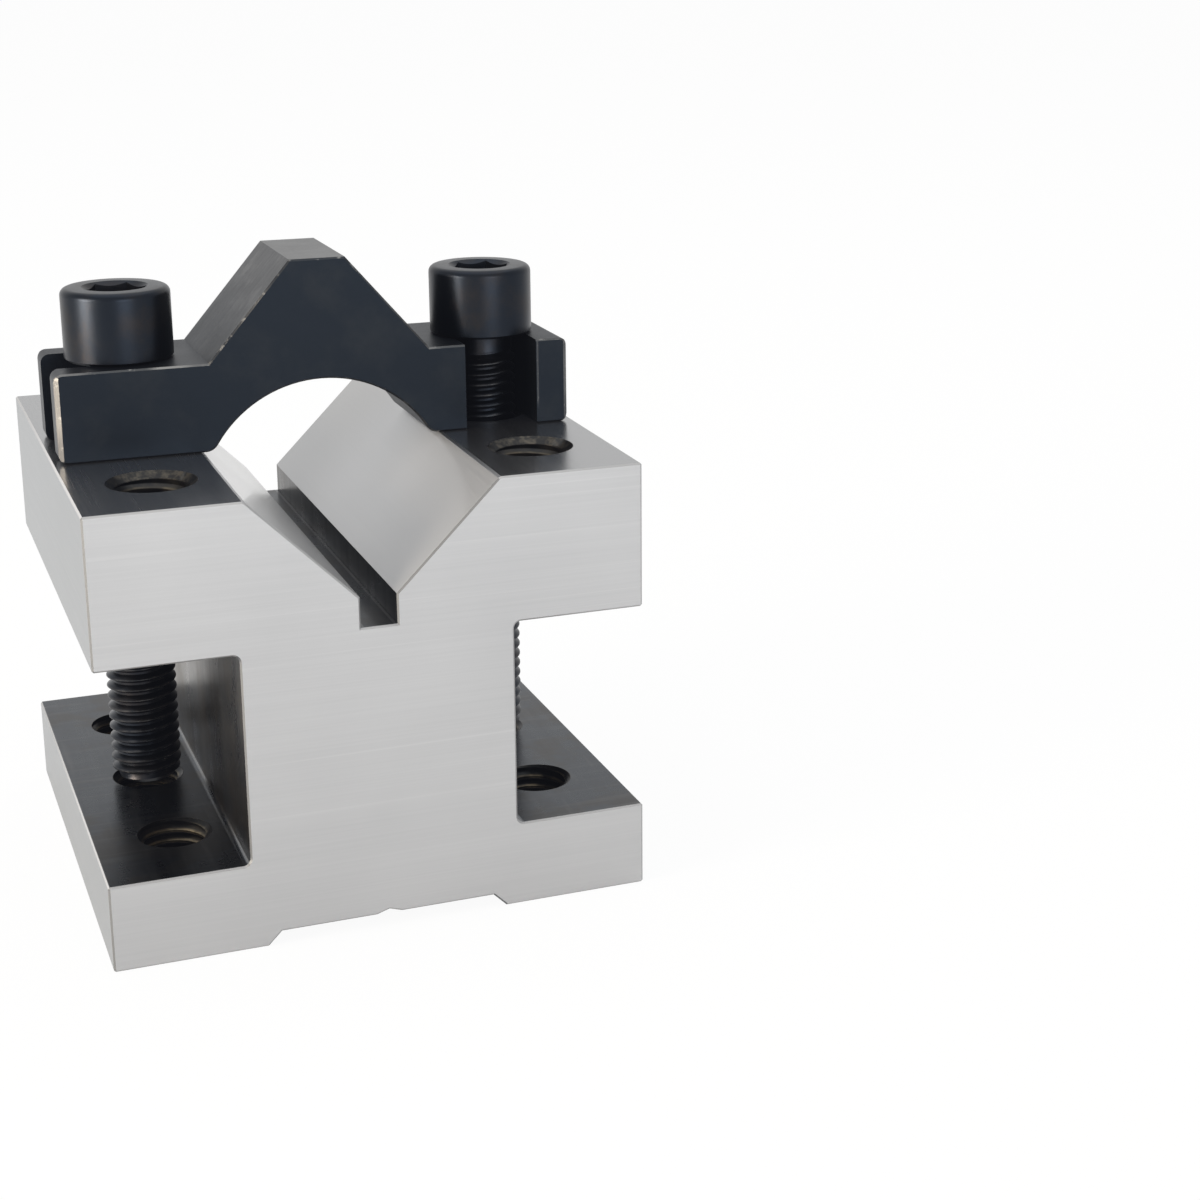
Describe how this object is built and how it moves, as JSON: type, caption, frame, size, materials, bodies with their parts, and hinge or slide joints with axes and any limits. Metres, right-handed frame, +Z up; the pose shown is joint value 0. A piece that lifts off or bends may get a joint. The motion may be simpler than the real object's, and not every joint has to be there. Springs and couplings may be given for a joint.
{
  "type": "v block",
  "caption": "Ground steel vee block of I-shaped section with tapped flanges, and a black arched bridge clamp held down by socket head cap screws.",
  "frame": {"origin": "middle of the foot of the block, on the plane it stands on", "axes": "+X across the vee, +Y along the vee away from the open side of the clamp's right slot, +Z up"},
  "size_m": [0.06, 0.06, 0.071],
  "materials": {
    "block_steel": "surface ground",
    "clamp_black": "black oxide",
    "screw_black": "black oxide"
  },
  "bodies": {
    "block": {"vee_block": "block_steel"},
    "clamp": {"bridge_clamp": "clamp_black"},
    "left_screw": {"clamp_screw_left": "screw_black"},
    "right_screw": {"clamp_screw_right": "screw_black"}
  },
  "joints": [
    {"name": "clamp_lift", "type": "slide", "parent": "block", "child": "clamp", "axis": [0, 0, 1], "range_m": [0, 0.03875]},
    {"name": "left_screw_turn", "type": "hinge", "parent": "clamp", "child": "left_screw", "pos_m": [-0.0211, 0, 0.06], "axis": [0, 0, 1], "range_deg": [0, 11160.1]},
    {"name": "right_screw_turn", "type": "hinge", "parent": "clamp", "child": "right_screw", "pos_m": [0.0211, 0, 0.06], "axis": [0, 0, 1], "range_deg": [0, 11160.1]}
  ],
  "couplings": [
    {"joint": "left_screw_turn", "follows": "clamp_lift", "rad_per_m": 5026.5},
    {"joint": "right_screw_turn", "follows": "clamp_lift", "rad_per_m": 5026.5}
  ]
}
